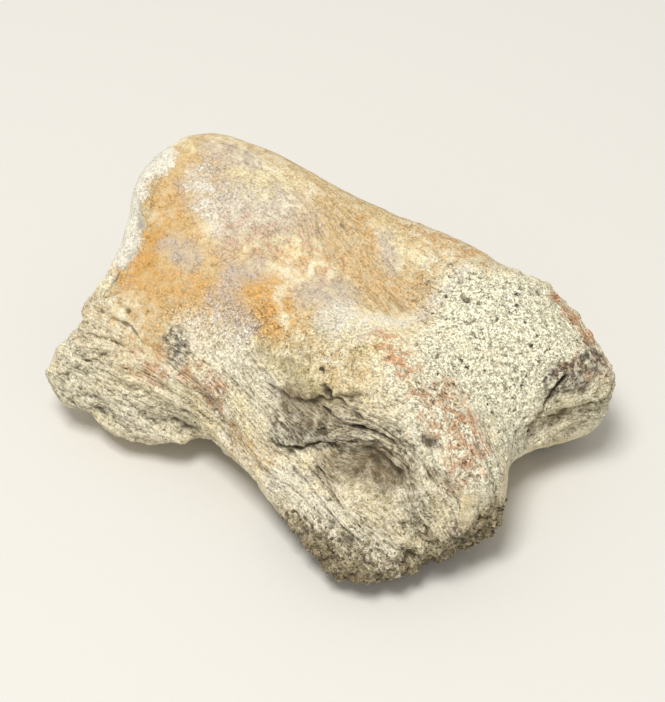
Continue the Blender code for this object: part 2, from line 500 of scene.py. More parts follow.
def feed(node: bpy.types.Node, inputs: dict[str | int, Feed]) -> None:
    """Sets or links a node's inputs.

    Args:
        node: The node.
        inputs: A value, a socket or a node for each input, by the input's name or number. A node
            stands for its first enabled output.
    """
    for key, value in inputs.items():
        if isinstance(key, int):
            socket = node.inputs[key]
        else:
            socket = next(s for s in node.inputs if s.enabled and s.name == key)
        if isinstance(value, bpy.types.Node):
            value = next(s for s in value.outputs if s.enabled)
        if isinstance(value, bpy.types.NodeSocket):
            node.id_data.links.new(value, socket)
        else:
            socket.default_value = value


def add_node(
    tree: bpy.types.NodeTree, kind: str, inputs: dict | tuple = (), **settings: object
) -> bpy.types.Node:
    """Adds a node to a tree, sets it, and links what feeds it.

    Args:
        tree: The node tree.
        kind: The node's type name.
        inputs: What feeds the inputs, by name or number, or in their order.
        **settings: The node's own properties, set before its inputs.

    Returns:
        The new node.
    """
    node = tree.nodes.new(kind)
    for name, value in settings.items():
        setattr(node, name, value)
    feed(node, inputs if isinstance(inputs, dict) else dict(enumerate(inputs)))
    return node


def new_material(name: str) -> tuple[bpy.types.Material, bpy.types.NodeTree, bpy.types.Node]:
    """Makes a material.

    Args:
        name: What it is called.

    Returns:
        The material, its nodes and its shader.
    """
    material = bpy.data.materials.new(name)
    material.use_nodes = True
    return material, material.node_tree, material.node_tree.nodes["Principled BSDF"]


def new_object(name: str, data: bpy.types.ID) -> bpy.types.Object:
    """Adds an object to the scene.

    Args:
        name: What it is called.
        data: Its mesh, camera or light.

    Returns:
        The object, at the origin.
    """
    thing = bpy.data.objects.new(name, data)
    bpy.context.scene.collection.objects.link(thing)
    return thing


def plain_mesh(host: bpy.types.Object, name: str) -> bpy.types.Mesh:
    """Turns what an object's modifiers make into a plain mesh.

    Args:
        host: The object, which is used up with its mesh.
        name: The new mesh's name.

    Returns:
        The new mesh.
    """
    graph = bpy.context.evaluated_depsgraph_get()
    mesh = bpy.data.meshes.new_from_object(host.evaluated_get(graph))
    used = host.data
    bpy.data.objects.remove(host)
    bpy.data.meshes.remove(used)
    mesh.name = name
    return mesh


def read_rows(items: bpy.types.bpy_prop_collection, name: str, width: int, kind: type = float) -> Array:
    """Reads one property of a mesh's elements.

    Args:
        items: The mesh's vertices, edges or normals.
        name: The property's name.
        width: How many numbers it has.
        kind: What each number is.

    Returns:
        One row for each element.
    """
    values = np.empty(len(items) * width, kind)
    items.foreach_get(name, values)
    return values.reshape(-1, width)


def mark_of(kind: Texture | Stain) -> str:
    """Returns the name of the attribute that says where a texture or a stain lies."""
    return kind.name.lower()


def smooth_step(values: Array, low: float, high: float) -> Array:
    """Rises smoothly from 0 at low to 1 at high."""
    t = np.clip((values - low) / (high - low), 0, 1)
    return t * t * (3 - 2 * t)


def falling(share: Array) -> Array:
    """Falls from 1 where the share is 0 to 0 where it is 1, along a parabola."""
    return np.clip(1 - share, 0, None)


def noise_at(points: Array, across: float, seed: float = 0.0) -> Array:
    """Smooth noise from about -1 to 1 at each point.

    Args:
        points: Places in millimetres, one a row.
        across: The size of the noise's lumps, in millimetres.
        seed: Shifts the noise, so that two uses of one size differ.

    Returns:
        One value for each point.
    """
    return np.array([noise.noise(place) for place in (points / across + seed).tolist()])


@dataclass(frozen=True)
class PhotoView:
    """Where the photograph was taken from, in millimetres and degrees."""

    azimuth: float = 32.0
    elevation: float = 50.0
    distance: float = 330.0
    focal_pixels: float = 2046.0
    target: tuple[float, float, float] = (0.0, 0.0, 14.0)
    rise: float = 2.74
    clip_start: float = 10.0

    def axes(self) -> tuple[Vector, Vector, Vector]:
        """Returns the photograph's right, its up, and the way back to the camera, as unit vectors."""
        turn, tilt = math.radians(self.azimuth), math.radians(self.elevation)
        level = Vector((math.sin(turn), -math.cos(turn), 0))
        back = level * math.cos(tilt) + Vector((0, 0, math.sin(tilt)))
        right = Vector((math.cos(turn), math.sin(turn), 0))
        return right, back.cross(right), back

    def eye(self) -> Vector:
        """Returns the camera's place."""
        _, up, back = self.axes()
        return Vector(self.target) + back * self.distance + up * self.rise

    def ray(self, pixel: Spot) -> Vector:
        """Finds the direction from the camera through a pixel of the photograph.

        Args:
            pixel: The pixel, from the left and from the top.

        Returns:
            The direction as a unit vector.
        """
        right, up, back = self.axes()
        across = (pixel[0] - PHOTO_SIZE[0] / 2) / self.focal_pixels
        down = (pixel[1] - PHOTO_SIZE[1] / 2) / self.focal_pixels
        return (right * across - up * down - back).normalized()

    def make_camera(self) -> None:
        """Adds the camera and makes it the scene's."""
        data = bpy.data.cameras.new("photo_camera")
        data.lens = self.focal_pixels * SENSOR_MM / max(PHOTO_SIZE)
        data.sensor_width = SENSOR_MM
        data.clip_start = self.clip_start * MM
        camera = new_object("photo_camera", data)
        turned = Matrix(self.axes()).transposed().to_4x4()
        camera.matrix_world = Matrix.Translation(self.eye() * MM) @ turned
        bpy.context.scene.camera = camera


@dataclass(frozen=True)
class BoneFinish:
    """Mineral-filled fossil bone, weathered by wind and sand, with sizes in millimetres.

    It is dry and matt. Cream bone shows between ochre, rust and black stains, and it is stippled
    and streaked with brown where its pits and the gaps between its fibres hold dirt. Its cracks and
    hollows are darkened partly by dirt and partly by painted shade.
    """

    cream: str = "#e3d3a6"
    yellow: str = "#d6bf85"
    pale: str = "#f3ead0"
    spongy: str = "#f0e9cb"
    # Sandy brown of the crust, darkened in part as painted shade on its down-facing rim.
    crust: str = "#9a8c6e"
    # Dark brown for cracks and hollows: partly dirt, partly painted shade.
    dirt_and_shade: str = "#544730"
    pore: str = "#4a412b"
    rusty_pore: str = "#a4643f"
    fleck: str = "#7a6742"
    hairline: str = "#6e5a3a"
    roughness: float = 0.7
    hues_per_mm: float = 0.55
    hue_share: float = 0.08
    fibre_across: float = 0.34
    fibre_taps: int = 9
    fibre_step: float = 0.3
    rags_per_mm: float = 2.4
    rag_reach: float = 1.4
    pore_depth: float = 0.17
    hairline_depth: float = 0.2
    fleck_depths: tuple[float, float] = (0.03, 0.1)
    grit_heights: tuple[float, float] = (0.02, 0.08)

    def make(self) -> bpy.types.Material:
        """Builds the finish, which reads the bone's attributes and its Object coordinates."""
        material, tree, shader = new_material("mineralised_fossil_bone")
        nodes = BoneNodes(self, tree)
        bump = nodes.add("ShaderNodeBump", {"Height": nodes.height(), "Strength": 1.0, "Distance": MM})
        surface = {"Base Color": nodes.colour(), "Roughness": self.roughness, "Metallic": 0.0}
        feed(shader, {**surface, "Normal": bump})
        return material


@dataclass
class BoneNodes:
    """The nodes of the bone's finish.

    They work with marks, which are values by name: where each texture and stain lies, how deep
    the surface is sunk, and the fine patterns that are made here.
    """

    finish: BoneFinish
    tree: bpy.types.NodeTree
    place: bpy.types.Node = field(init=False)
    marks: dict[str, Feed] = field(init=False, default_factory=dict)

    def __post_init__(self) -> None:
        """Reads the marks on the bone, and adds the fine patterns to them."""
        marks = self.marks
        place = self.add("ShaderNodeTexCoord").outputs["Object"]
        self.place = self.add("ShaderNodeVectorMath", {0: place, "Scale": 1 / MM}, operation="SCALE")
        for name in (*map(mark_of, Texture), *map(mark_of, Stain), "hollow", "shade"):
            marks[name] = self.add("ShaderNodeAttribute", attribute_name=name).outputs["Fac"]
        rust = {"Value": marks["rust"], "From Min": 0.3, "From Max": 0.7}
        marks["rusty"] = self.add("ShaderNodeMapRange", rust)
        marks["worn"] = 0.0
        for texture in Texture:
            both = (marks["worn"], marks[mark_of(texture)])
            marks["worn"] = self.add("ShaderNodeMath", both, operation="MAXIMUM")
        for name, pattern in PATTERNS.items():
            marks[name] = self.patterned(pattern)
        worn = self.add("ShaderNodeMath", (marks["worn"], 0.45), operation="MAXIMUM")
        clean = self.weighed(0.75, chalk=-0.6)
        marks["hairline"] = self.product(marks["hairline"], worn, marks["patchy"], clean)
        marks["fibres"] = self.fibres()
        marks["pores"] = self.pores()

    def add(self, kind: str, inputs: dict | tuple = (), **settings: object) -> bpy.types.Node:
        """Adds a node to the finish."""
        return add_node(self.tree, kind, inputs, **settings)

    def weighed(self, start: float, **weights: Feed) -> bpy.types.Node:
        """Adds up marks.

        Args:
            start: What they are added to.
            **weights: What each mark is multiplied by, by its name.

        Returns:
            A node whose value is the sum.
        """
        total = start
        for name, weight in weights.items():
            total = self.add("ShaderNodeMath", (self.marks[name], weight, total), operation="MULTIPLY_ADD")
        return total

    def product(self, first: Feed, *others: Feed) -> bpy.types.Node:
        """Multiplies values.

        Args:
            first: A mark, a node or a number.
            *others: What it is multiplied by.

        Returns:
            A node whose value is the product.
        """
        for other in others:
            first = self.add("ShaderNodeMath", (first, other), operation="MULTIPLY")
        return first

    def patterned(self, pattern: Pattern) -> bpy.types.Node:
        """Makes one of the fine patterns.

        Args:
            pattern: Its sizes.

        Returns:
            A node whose value runs from 0 to 1.
        """
        sizes = {"Scale": 1 / pattern.across, "Detail": pattern.detail, "Roughness": pattern.roughness}
        value = self.add("ShaderNodeTexNoise", {"Vector": self.place, **sizes})
        if pattern.gathered:
            more = (self.marks["patchy"], pattern.gathered, value)
            value = self.add("ShaderNodeMath", more, operation="MULTIPLY_ADD")
        if pattern.folded:
            value = self.add("ShaderNodeMath", (value, 0.5), operation="SUBTRACT")
            value = self.add("ShaderNodeMath", (value,), operation="ABSOLUTE")
        ends = {"From Min": pattern.low, "From Max": pattern.high}
        return self.add("ShaderNodeMapRange", {"Value": value, **ends}, interpolation_type="SMOOTHSTEP")

    def fibres(self) -> bpy.types.Node:
        """Makes fine fibres, as noise that is averaged along the combed direction.

        Returns:
            A node whose value is 0 between the fibres and 1 on them.
        """
        finish = self.finish
        comb = self.add("ShaderNodeAttribute", attribute_name="comb").outputs["Vector"]
        total = 0.0
        for tap in range(finish.fibre_taps):
            away = (tap - (finish.fibre_taps - 1) / 2) * finish.fibre_step
            moved = (comb, (away,) * 3, self.place)
            moved = self.add("ShaderNodeVectorMath", moved, operation="MULTIPLY_ADD")
            one = {"Vector": moved, "Scale": 1 / finish.fibre_across, "Detail": 0.0}
            share = (self.add("ShaderNodeTexNoise", one), 1 / finish.fibre_taps, total)
            total = self.add("ShaderNodeMath", share, operation="MULTIPLY_ADD")
        ends = {"From Min": 0.43, "From Max": 0.56}
        return self.add("ShaderNodeMapRange", {"Value": total, **ends}, interpolation_type="SMOOTHSTEP")

    def pores(self) -> bpy.types.Node:
        """Makes the open pores of the spongy bone, which are ragged holes of two sizes.

        Returns:
            A node whose value is 1 in a pore and 0 outside.
        """
        finish = self.finish
        ragged = {"Vector": self.place, "Scale": finish.rags_per_mm, "Detail": 2.0}
        push = self.add("ShaderNodeTexNoise", ragged).outputs["Color"]
        moved = (push, (finish.rag_reach,) * 3, self.place)
        moved = self.add("ShaderNodeVectorMath", moved, operation="MULTIPLY_ADD")
        total = 0.0
        for pores in (FINE_PORES, WIDE_PORES):
            cells = {"Vector": moved, "Scale": 1 / pores.spacing, "Randomness": 1.0}
            cells = self.add("ShaderNodeTexVoronoi", cells).outputs
            chance = self.add("ShaderNodeSeparateColor", {"Color": cells["Color"]})
            size = {"Value": chance, "From Min": pores.closed, "To Min": 0.0, "To Max": pores.widest}
            radius = self.add("ShaderNodeMapRange", size)
            inside = self.add("ShaderNodeMath", (radius, cells["Distance"]), operation="SUBTRACT")
            rim = {"Value": inside, "From Min": -0.06, "From Max": 0.16, "To Max": pores.darkness}
            holes = self.add("ShaderNodeMapRange", rim, interpolation_type="SMOOTHSTEP")
            total = self.add("ShaderNodeMath", (total, holes), operation="MAXIMUM")
        holed = (self.marks["porous"], self.marks["rusty"])
        return self.product(total, self.add("ShaderNodeMath", holed, operation="MAXIMUM"))

    def colour(self) -> bpy.types.Node:
        """Lays every layer of colour over the cream of the bone.

        Returns:
            A node whose output is the final colour.
        """
        colour = linear(self.finish.cream)
        for factor, tint, blend in (*self.bare_layers(), *self.stain_layers(), *self.grime_and_shade_layers()):
            colour = self.add(
                "ShaderNodeMix",
                {"Factor": factor, "A": colour, "B": tint},
                data_type="RGBA",
                blend_type=blend,
                clamp_result=blend == "MULTIPLY",
            )
        return colour

    def bare_layers(self) -> list[Layer]:
        """Returns the layers of the unstained bone: paler clouds, yellow patches and a play of hues."""
        finish, marks = self.finish, self.marks
        hues = {"Vector": self.place, "Scale": finish.hues_per_mm, "Detail": 4.0}
        hues = (self.add("ShaderNodeTexNoise", hues).outputs["Color"], (1.8,) * 3, (-0.4,) * 3)
        hues = self.add("ShaderNodeVectorMath", hues, operation="MULTIPLY_ADD")
        return [
            (marks["cloud"], linear(finish.pale), "MIX"),
            (self.weighed(0.0, patchy=0.4), linear(finish.yellow), "MIX"),
            (marks["porous"], linear(finish.spongy), "MIX"),
            (marks["crusted"], linear(finish.crust), "MIX"),
            (finish.hue_share, hues, "SOFT_LIGHT"),
        ]

    def stain_layers(self) -> list[Layer]:
        """Returns the stains, each of which is stippled and has a patchy rim."""
        layers = []
        for stain in Stain:
            amount = self.marks[mark_of(stain)]
            spread = SPREADS.get(stain, WASHED)
            weights = {mark_of(stain): 1.0, "stipple": spread.stipple, spread.pattern: spread.wide}
            level = self.weighed(-(spread.stipple + spread.wide) / 2, **weights)
            patchy = self.add("ShaderNodeMapRange", {"Value": level, "To Max": 0.96})
            near = self.add("ShaderNodeMath", (amount, 3.0), operation="MULTIPLY", use_clamp=True)
            layers.append((self.product(patchy, near), linear(stain.value), "MIX"))
        return layers

    def grime_and_shade_layers(self) -> list[Layer]:
        """Returns dirt in flecks, cracks, pores and fibre gaps, and dirt and painted shade in hollows."""
        finish, marks = self.finish, self.marks
        flecked = self.weighed(0.12, pitted=0.25, crusted=0.3, porous=0.3, rusty=0.6)
        flecked = self.add("ShaderNodeMath", (flecked, marks["fleck"]), operation="MULTIPLY", use_clamp=True)
        fleck, pore = (
            self.add(
                "ShaderNodeMix",
                {"Factor": marks["rusty"], "A": linear(plain), "B": linear(finish.rusty_pore)},
                data_type="RGBA",
            )
            for plain in (finish.fleck, finish.pore)
        )
        gritty = self.add("ShaderNodeMapRange", {"Value": marks["worn"], "To Min": 0.36, "To Max": 0.72})
        gritty = self.product(gritty, self.weighed(1.0, chalk=-0.6))
        grain = (self.weighed(-0.55, stipple=1.0), gritty, 1.0)
        grained = (marks["fibrous"], self.weighed(0.0, porous=0.7))
        gaps = {"Value": marks["fibres"], "From Min": 0.45, "From Max": 0.0}
        between = self.product(
            self.add("ShaderNodeMapRange", gaps),
            self.add("ShaderNodeMath", grained, operation="MAXIMUM"),
            self.weighed(0.12, patchy=0.28),
        )
        return [
            (1.0, self.add("ShaderNodeMath", grain, operation="MULTIPLY_ADD"), "MULTIPLY"),
            (flecked, fleck, "MIX"),
            (marks["hairline"], linear(finish.hairline), "MIX"),
            (self.product(marks["fibres"], marks["fibrous"], 0.55), linear(finish.pale), "MIX"),
            (between, linear(finish.fleck), "MIX"),
            # Painted shade with some dirt, deepest in the wide hollows.
            (self.weighed(0.0, shade=0.6), linear(finish.dirt_and_shade), "MIX"),
            # Dirt and painted shade in the narrow hollows, cracks and grooves, less where chalk lies.
            (self.product(marks["hollow"], self.weighed(0.72, chalk=-0.5)), linear(finish.dirt_and_shade), "MIX"),
            (marks["pores"], pore, "MIX"),
        ]

    def height(self) -> bpy.types.Node:
        """Adds up the fine relief, most of which stands where the bone is worn.

        Returns:
            A node whose value is the height in millimetres.
        """
        finish = self.finish
        grit, pit = (
            self.add("ShaderNodeMapRange", {"Value": self.marks["worn"], "To Min": least, "To Max": most})
            for least, most in (finish.grit_heights, finish.fleck_depths)
        )
        return self.weighed(
            0.0,
            fibres=self.weighed(0.01, fibrous=0.07),
            stipple=grit,
            fleck=self.product(pit, -1.0),
            hairline=-finish.hairline_depth,
            pores=-finish.pore_depth,
        )


@dataclass(frozen=True)
class GrainFinish:
    """Quartz and limestone sand stuck to the bone: dull, with each grain a little different."""

    dark: str = "#554a35"
    light: str = "#aa9c79"
    roughness: float = 0.65

    def make(self) -> bpy.types.Material:
        """Builds the finish, which reads each grain's own tint."""
        material, tree, shader = new_material("cemented_sand")
        tint = add_node(tree, "ShaderNodeAttribute", attribute_name="grain_tint").outputs["Fac"]
        ends = {"Factor": tint, "A": linear(self.dark), "B": linear(self.light)}
        mixed = add_node(tree, "ShaderNodeMix", ends, data_type="RGBA")
        feed(shader, {"Base Color": mixed, "Roughness": self.roughness})
        return material


@dataclass(frozen=True)
class CardFinish:
    """Matt card of the studio floor, in metres: plain and pale, with a grain that hardly shows."""

    colour: str = "#d9d6cf"
    roughness: float = 0.9
    grains_per_m: float = 900.0
    grain_depth: float = 0.0001

    def make(self) -> bpy.types.Material:
        """Builds the finish."""
        material, tree, shader = new_material("matt_card")
        place = add_node(tree, "ShaderNodeTexCoord").outputs["Object"]
        sizes = {"Vector": place, "Scale": self.grains_per_m, "Detail": 2.0}
        grain = add_node(tree, "ShaderNodeTexNoise", sizes)
        depth = {"Height": grain, "Strength": 0.2, "Distance": self.grain_depth}
        bump = add_node(tree, "ShaderNodeBump", depth)
        feed(shader, {"Base Color": linear(self.colour), "Roughness": self.roughness, "Normal": bump})
        return material


@dataclass
class BoneSkin:
    """The weathered surface of the bone, carved from a fine copy of the solid, in millimetres."""

    solid: bpy.types.Object
    view: PhotoView
    voxel: float = 0.3
    smoothing: int = 30
    most_faces: int = 194_000
    path_steps: int = 7
    path_step: float = 0.75
    wave_across: float = 7.0
    wave_turn: float = 0.4
    wave_seeds: tuple[float, float, float] = (5.3, 17.9, 41.2)
    strand_sizes: tuple[float, float, float] = (3.2, 1.5, 0.8)
    strand_heights: tuple[float, float, float] = (0.36, 0.14, 0.05)
    groove_depth: float = 0.3
    rough_sizes: tuple[float, float, float] = (2.6, 1.4, 0.8)
    rough_seed: float = 3.7
    clod_across: float = 2.1
    rim_across: tuple[float, float] = (3.5, 1.6)
    rim_fade: tuple[float, float] = (0.3, 1.35)
    rim_ragged: float = 0.4
    wander_across: float = 1.3
    press_wander: float = 0.35
    crack_wander: float = 0.25
    edge_wander: float = 0.5
    edge_slope: tuple[float, float] = (-0.1, 0.35)
    edge_taper: float = 0.12
    points: Array = field(init=False)
    rest: Array = field(init=False)
    edges: Array = field(init=False)
    mesh: bpy.types.Mesh = field(init=False)
    tree: BVHTree = field(init=False)
    masks: dict[Enum, Array] = field(init=False, default_factory=dict)

    def build(self, finish: BoneFinish) -> bpy.types.Object:
        """Makes the bone's visible piece.

        Args:
            finish: What the bone is made of.

        Returns:
            The finished object, at the origin.
        """
        self.mesh = self.fine_mesh()
        self.read_mesh()
        wide, narrow = (noise_at(self.rest, across) for across in self.rim_across)
        ragged = wide + 0.6 * narrow
        for kind, patches in (*TEXTURES.items(), *STAINS.items()):
            self.masks[kind] = self.mask(patches, ragged)
        self.keep_attribute("comb", self.flow(self.points))
        for kind, mask in self.masks.items():
            self.keep_attribute(mark_of(kind), mask)
        self.press()
        self.carve()
        # How sunk each point is in narrow and in wide hollows, which the finish darkens with dirt and
        # painted shade.
        self.keep_attribute("hollow", self.hollows(8, 0.03, 0.26))
        self.keep_attribute("shade", self.hollows(60, 0.1, 0.9))
        self.write_points()
        self.thin_out()
        self.mesh.materials.clear()
        self.mesh.materials.append(finish.make())
        self.mesh.shade_smooth()
        return new_object("toe_bone_surface", self.mesh)

    def modified(self, mesh: bpy.types.Mesh, modifiers: dict[str, dict]) -> bpy.types.Mesh:
        """Runs modifiers on a mesh.

        Args:
            mesh: The mesh, which is used up.
            modifiers: The settings of each modifier, by its type.

        Returns:
            The new mesh.
        """
        host = new_object("host", mesh)
        for kind, settings in modifiers.items():
            modifier = host.modifiers.new(kind.lower(), kind)
            for name, value in settings.items():
                setattr(modifier, name, value)
        return plain_mesh(host, "toe_bone_surface")

    def fine_mesh(self) -> bpy.types.Mesh:
        """Returns a fine, even mesh of the solid, whose facets are smoothed away."""
        copy = self.solid.data.copy()
        shape = bmesh.new()
        shape.from_mesh(copy)
        bmesh.ops.remove_doubles(shape, verts=shape.verts, dist=1e-6)
        shape.to_mesh(copy)
        shape.free()
        remesh = {"mode": "VOXEL", "voxel_size": self.voxel * MM}
        smooth = {"factor": 0.5, "iterations": self.smoothing}
        return self.modified(copy, {"REMESH": remesh, "SMOOTH": smooth})

    def thin_out(self) -> None:
        """Takes faces out where the surface is smooth, so that it keeps within its limit."""
        ratio = self.most_faces / (2 * len(self.mesh.polygons))
        if ratio < 1:
            self.mesh = self.modified(self.mesh, {"DECIMATE": {"ratio": ratio}})

    def read_mesh(self) -> None:
        """Reads the mesh into arrays, and makes it ready to be cast on."""
        self.points = read_rows(self.mesh.vertices, "co", 3) / MM
        self.rest = self.points.copy()
        self.edges = read_rows(self.mesh.edges, "vertices", 2, int)
        faces = [tuple(face.vertices) for face in self.mesh.polygons]
        self.tree = BVHTree.FromPolygons(self.points.tolist(), faces)

    def write_points(self) -> None:
        """Writes the points back to the mesh."""
        self.mesh.vertices.foreach_set("co", (self.points * MM).ravel())
        self.mesh.update()

    def normals(self) -> Array:
        """Returns the outward direction at each point, as the surface now is."""
        self.write_points()
        return read_rows(self.mesh.vertex_normals, "vector", 3)

    def smoothed(self, values: Array, rounds: int) -> Array:
        """Gives each point its neighbours' mean, several times.

        Args:
            values: One row for each point.
            rounds: How many times.

        Returns:
            The smoothed rows.
        """
        a, b = self.edges.T
        size = len(values)
        count = np.bincount(self.edges.ravel(), minlength=size)
        for _ in range(rounds):
            columns = [np.bincount(a, v[b], size) + np.bincount(b, v[a], size) for v in values.T]
            values = np.stack(columns, axis=1) / count[:, None]
        return values

    def keep_attribute(self, name: str, values: Array) -> None:
        """Keeps a value of each point on the mesh, for the finish to read.

        Args:
            name: The attribute's name.
            values: A number or a direction for each point.
        """
        kind, key = ("FLOAT_VECTOR", "vector") if values.ndim == 2 else ("FLOAT", "value")
        attribute = self.mesh.attributes.new(name, kind, "POINT")
        attribute.data.foreach_set(key, values.astype(np.float32).ravel())

    def cast(self, spot: Spot) -> Array:
        """Finds a spot on the bone.

        Args:
            spot: A pixel of the photograph, or a place in millimetres.

        Returns:
            The place on the surface.
        """
        if len(spot) == 3:
            return np.array(self.tree.find_nearest(Vector(spot))[0])
        eye, way = self.view.eye(), self.view.ray(spot)
        hit = self.tree.ray_cast(eye, way)[0]
        if hit is None:
            hit = self.tree.find_nearest(eye + way * self.view.distance)[0]
        return np.array(hit)

    def away_from(self, spots: tuple[Spot, ...]) -> Array:
        """Measures how far each point is from the way through some spots.

        Args:
            spots: The spots in their order, or a single one.

        Returns:
            One distance for each point, in millimetres.
        """
        if len(spots) == 1:
            return np.linalg.norm(self.rest - self.cast(spots[0]), axis=1)
        return np.min([np.linalg.norm(offset, axis=1) for _, _, offset in self.stretches(spots)], axis=0)

    def stretches(self, spots: tuple[Spot, ...]) -> Iterator[tuple[Array, Array, Array]]:
        """Walks the way through some spots, stretch by stretch.

        Args:
            spots: The spots in their order.

        Yields:
            The stretch's direction and length, the share of it at which each point is nearest, and
            how far off it each point is, in millimetres.
        """
        places = [self.cast(spot) for spot in spots]
        for a, b in zip(places, places[1:]):
            way = b - a
            along = np.clip((self.rest - a) @ way / (way @ way), 0, 1)
            yield way, along, self.rest - a - along[:, None] * way

    def mask(self, patches: tuple[Patch, ...], ragged: Array) -> Array:
        """Returns how strongly the patches cover each point.

        Args:
            patches: The patches, the strongest of which counts.
            ragged: Noise that roughens their rims.

        Returns:
            One value for each point, from 0 outside to the strength of the patch.
        """
        total = np.zeros(len(self.rest))
        for patch in patches:
            share = self.away_from(patch.spots) / patch.reach + self.rim_ragged * ragged
            total = np.maximum(total, patch.strength * (1 - smooth_step(share, *self.rim_fade)))
            log.debug("%s: covers %d points", patch.name, (share < 1).sum())
        return total

    def flow(self, points: Array) -> Array:
        """Finds the direction of the fibres, which follows the combs and waves a little.

        Args:
            points: Places in millimetres, one a row.

        Returns:
            A unit vector for each point.
        """
        total = np.tile((0.05, 0.0, 0.0), (len(points), 1))
        for comb in COMBS:
            start, end = self.cast(comb.start), self.cast(comb.end)
            way = (end - start) / np.linalg.norm(end - start)
            along = np.clip((points - start) @ way, 0, np.linalg.norm(end - start))
            away = np.linalg.norm(points - start - along[:, None] * way, axis=1)
            total += way * np.exp(-((away / comb.reach) ** 2))[:, None]
        total /= np.linalg.norm(total, axis=1)[:, None]
        waves = [noise_at(points, self.wave_across, seed) for seed in self.wave_seeds]
        total += self.wave_turn * np.stack(waves, axis=1)
        return total / np.linalg.norm(total, axis=1)[:, None]

    def drawn_noise(self, across: float, paths: list[Array]) -> Array:
        """Returns noise drawn out along the fibres' paths, scaled to a spread of 1."""
        total = sum(noise_at(path, across) for path in paths)
        return total / total.std()

    def fibre_paths(self, points: Array) -> list[Array]:
        """Moves the points in steps along the fibres, both ways.

        Args:
            points: Places in millimetres, one a row.

        Returns:
            The points as they are, and after each step.
        """
        paths = [points]
        for way in (-1, 1):
            moved = points
            for _ in range(self.path_steps):
                moved = moved + way * self.path_step * self.flow(moved)
                paths.append(moved)
        return paths

    def press(self) -> None:
        """Presses the pits and holes, and raises the swellings."""
        normals = self.normals()
        ragged = noise_at(self.rest, self.wander_across)
        for press in PRESSES:
            away = (self.away_from((press.spot,)) + self.press_wander * ragged) / press.reach
            self.points -= normals * (press.depth * falling(away**2) ** 2)[:, None]
            log.debug("%s: moves %d points", press.name, (away < 1).sum())

    def carve(self) -> None:
        """Cuts the textures, edges and cracks into the surface."""
        normals = self.normals()
        height = 0.12 * noise_at(self.rest, 4.0) + 0.04 * noise_at(self.rest, 1.2)
        height += self.fibre_height()
        height += self.rough_height()
        for edge in EDGES:
            height -= self.edge_drop(edge, normals)
            log.debug("%s: drops by %.1f mm", edge.name, edge.drop)
        ragged = noise_at(self.rest, self.wander_across)
        for crack in CRACKS:
            wander = (self.away_from(crack.spots) + self.crack_wander * ragged) / crack.width
            height -= crack.depth * falling(wander**2)
            log.debug("%s: cuts %d points", crack.name, (wander < 1).sum())
        self.points += normals * height[:, None]
        self.points[:, 2] = self.points[:, 2].clip(0, None)

    def fibre_height(self) -> Array:
        """Returns how far the fibres stand out at each point."""
        height = np.zeros(len(self.rest))
        fibrous = self.masks[Texture.FIBROUS]
        among = fibrous > 0.02
        paths = self.fibre_paths(self.rest[among])
        bundles, strands, threads = (self.drawn_noise(across, paths) for across in self.strand_sizes)
        grooves = falling(abs(strands) / 0.35) + 0.6 * falling(abs(threads) / 0.4)
        drawn = zip(self.strand_heights, (bundles, strands, threads))
        height[among] = sum(tall * one for tall, one in drawn) - self.groove_depth * grooves
        return height * fibrous

    def rough_height(self) -> Array:
        """Returns how far crust, chips, pits and pores stand out at each point."""
        places = (self.rest / self.clod_across).tolist()
        clods = np.array([noise.voronoi(place)[0][0] for place in places])
        coarse, middle, fine = (noise_at(self.rest, size, self.rough_seed) for size in self.rough_sizes)
        height = np.zeros(len(self.rest))
        for texture, relief in RELIEFS.items():
            raised = relief.lift + relief.clods * clods
            raised = raised + relief.coarse * coarse + relief.middle * middle + relief.fine * fine
            sunk = relief.holes * smooth_step(fine, relief.hole_rim, relief.hole_floor)
            height += self.masks[texture] * (raised - sunk)
        return height

    def edge_drop(self, edge: Edge, normals: Array) -> Array:
        """Finds how far an edge's low side is sunk.

        Args:
            edge: The edge.
            normals: The outward direction at each point.

        Returns:
            One depth for each point, in millimetres.
        """
        nearest = np.full(len(self.rest), np.inf)
        side = np.zeros(len(self.rest))
        share = np.zeros(len(self.rest))
        for step, (way, along, offset) in enumerate(self.stretches(edge.spots)):
            away = np.linalg.norm(offset, axis=1)
            closer = away < nearest
            nearest = np.where(closer, away, nearest)
            side = np.where(closer, np.einsum("ij,ij->i", np.cross(way, offset), normals), side)
            share = np.where(closer, (step + along) / (len(edge.spots) - 1), share)
        below = np.where(side < 0, nearest, -nearest) + self.edge_wander * noise_at(self.rest, 1.4)
        ends = smooth_step(share, 0, self.edge_taper) * (1 - smooth_step(share, 1 - self.edge_taper, 1))
        fade = np.exp(-((np.clip(below, 0, None) / edge.reach) ** 2))
        return edge.drop * ends * smooth_step(below, *self.edge_slope) * fade

    def hollows(self, rounds: int, shallow: float, deep: float) -> Array:
        """Returns how deep each point lies below the surface round it.

        Args:
            rounds: How often the surface is smoothed to compare with it.
            shallow: The depth in millimetres that counts as 0.
            deep: The depth in millimetres that counts as 1.

        Returns:
            One value from 0 to 1 for each point.
        """
        sunk = self.smoothed(self.points, rounds) - self.points
        return smooth_step(np.einsum("ij,ij->i", sunk, self.normals()), shallow, deep)


